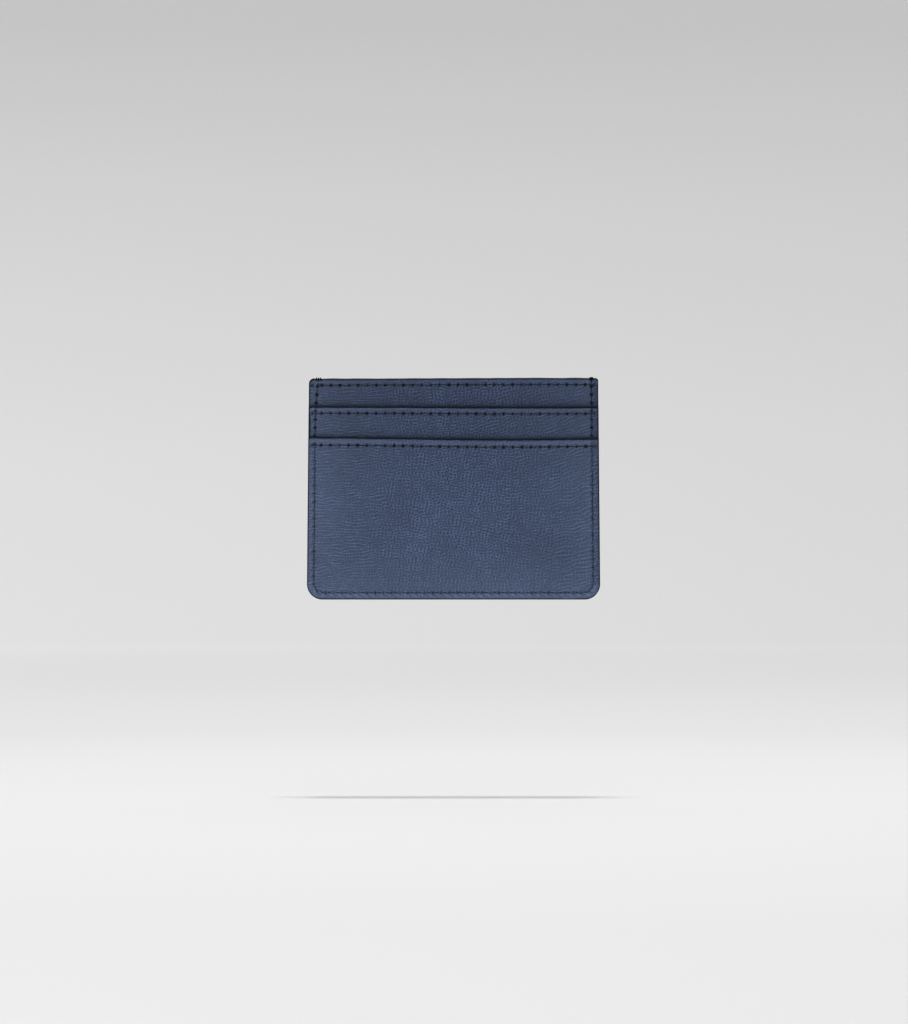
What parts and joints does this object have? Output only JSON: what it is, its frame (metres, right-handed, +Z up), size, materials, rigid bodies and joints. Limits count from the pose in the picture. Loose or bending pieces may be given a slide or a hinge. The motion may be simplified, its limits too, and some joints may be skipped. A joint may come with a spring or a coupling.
{
  "type": "card holder",
  "caption": "Flat leather card holder with stepped card pockets on both faces and an open pocket between its two body panels.",
  "frame": {"origin": "middle of the bottom edge, between the front and the back", "axes": "+X right across the front, +Y from the front face to the back face, +Z up to the open top; the holder stands on its bottom edge"},
  "size_m": [0.1, 0.008, 0.0758],
  "materials": {
    "leather": "fine embossed grain, semi-matte",
    "edge_paint": "smooth satin edge paint",
    "thread": "twisted polyester thread",
    "lining": "thin woven lining"
  },
  "bodies": {
    "root": {"back_body": "leather", "back_body_lining": "lining", "back_body_mouth_edge": "edge_paint", "back_body_mouth_thread": "thread", "back_closing_seam_thread": "thread", "back_lower_pocket": "leather", "back_lower_pocket_lining": "lining", "back_lower_pocket_mouth_edge": "edge_paint", "back_lower_pocket_mouth_thread": "thread", "back_lower_pocket_seam_margin": "leather", "back_middle_pocket": "leather", "back_middle_pocket_base_seam": "thread", "back_middle_pocket_lining": "lining", "back_middle_pocket_mouth_edge": "edge_paint", "back_middle_pocket_mouth_thread": "thread", "back_middle_pocket_seam_margin": "leather", "centre_pocket_seam_margin": "leather", "closing_edge_paint": "edge_paint", "front_body": "leather", "front_body_lining": "lining", "front_body_mouth_edge": "edge_paint", "front_body_mouth_thread": "thread", "front_closing_seam_thread": "thread", "front_lower_pocket": "leather", "front_lower_pocket_lining": "lining", "front_lower_pocket_mouth_edge": "edge_paint", "front_lower_pocket_mouth_thread": "thread", "front_lower_pocket_seam_margin": "leather", "front_middle_pocket": "leather", "front_middle_pocket_base_seam": "thread", "front_middle_pocket_lining": "lining", "front_middle_pocket_mouth_edge": "edge_paint", "front_middle_pocket_mouth_thread": "thread", "front_middle_pocket_seam_margin": "leather"}
  },
  "joints": []
}
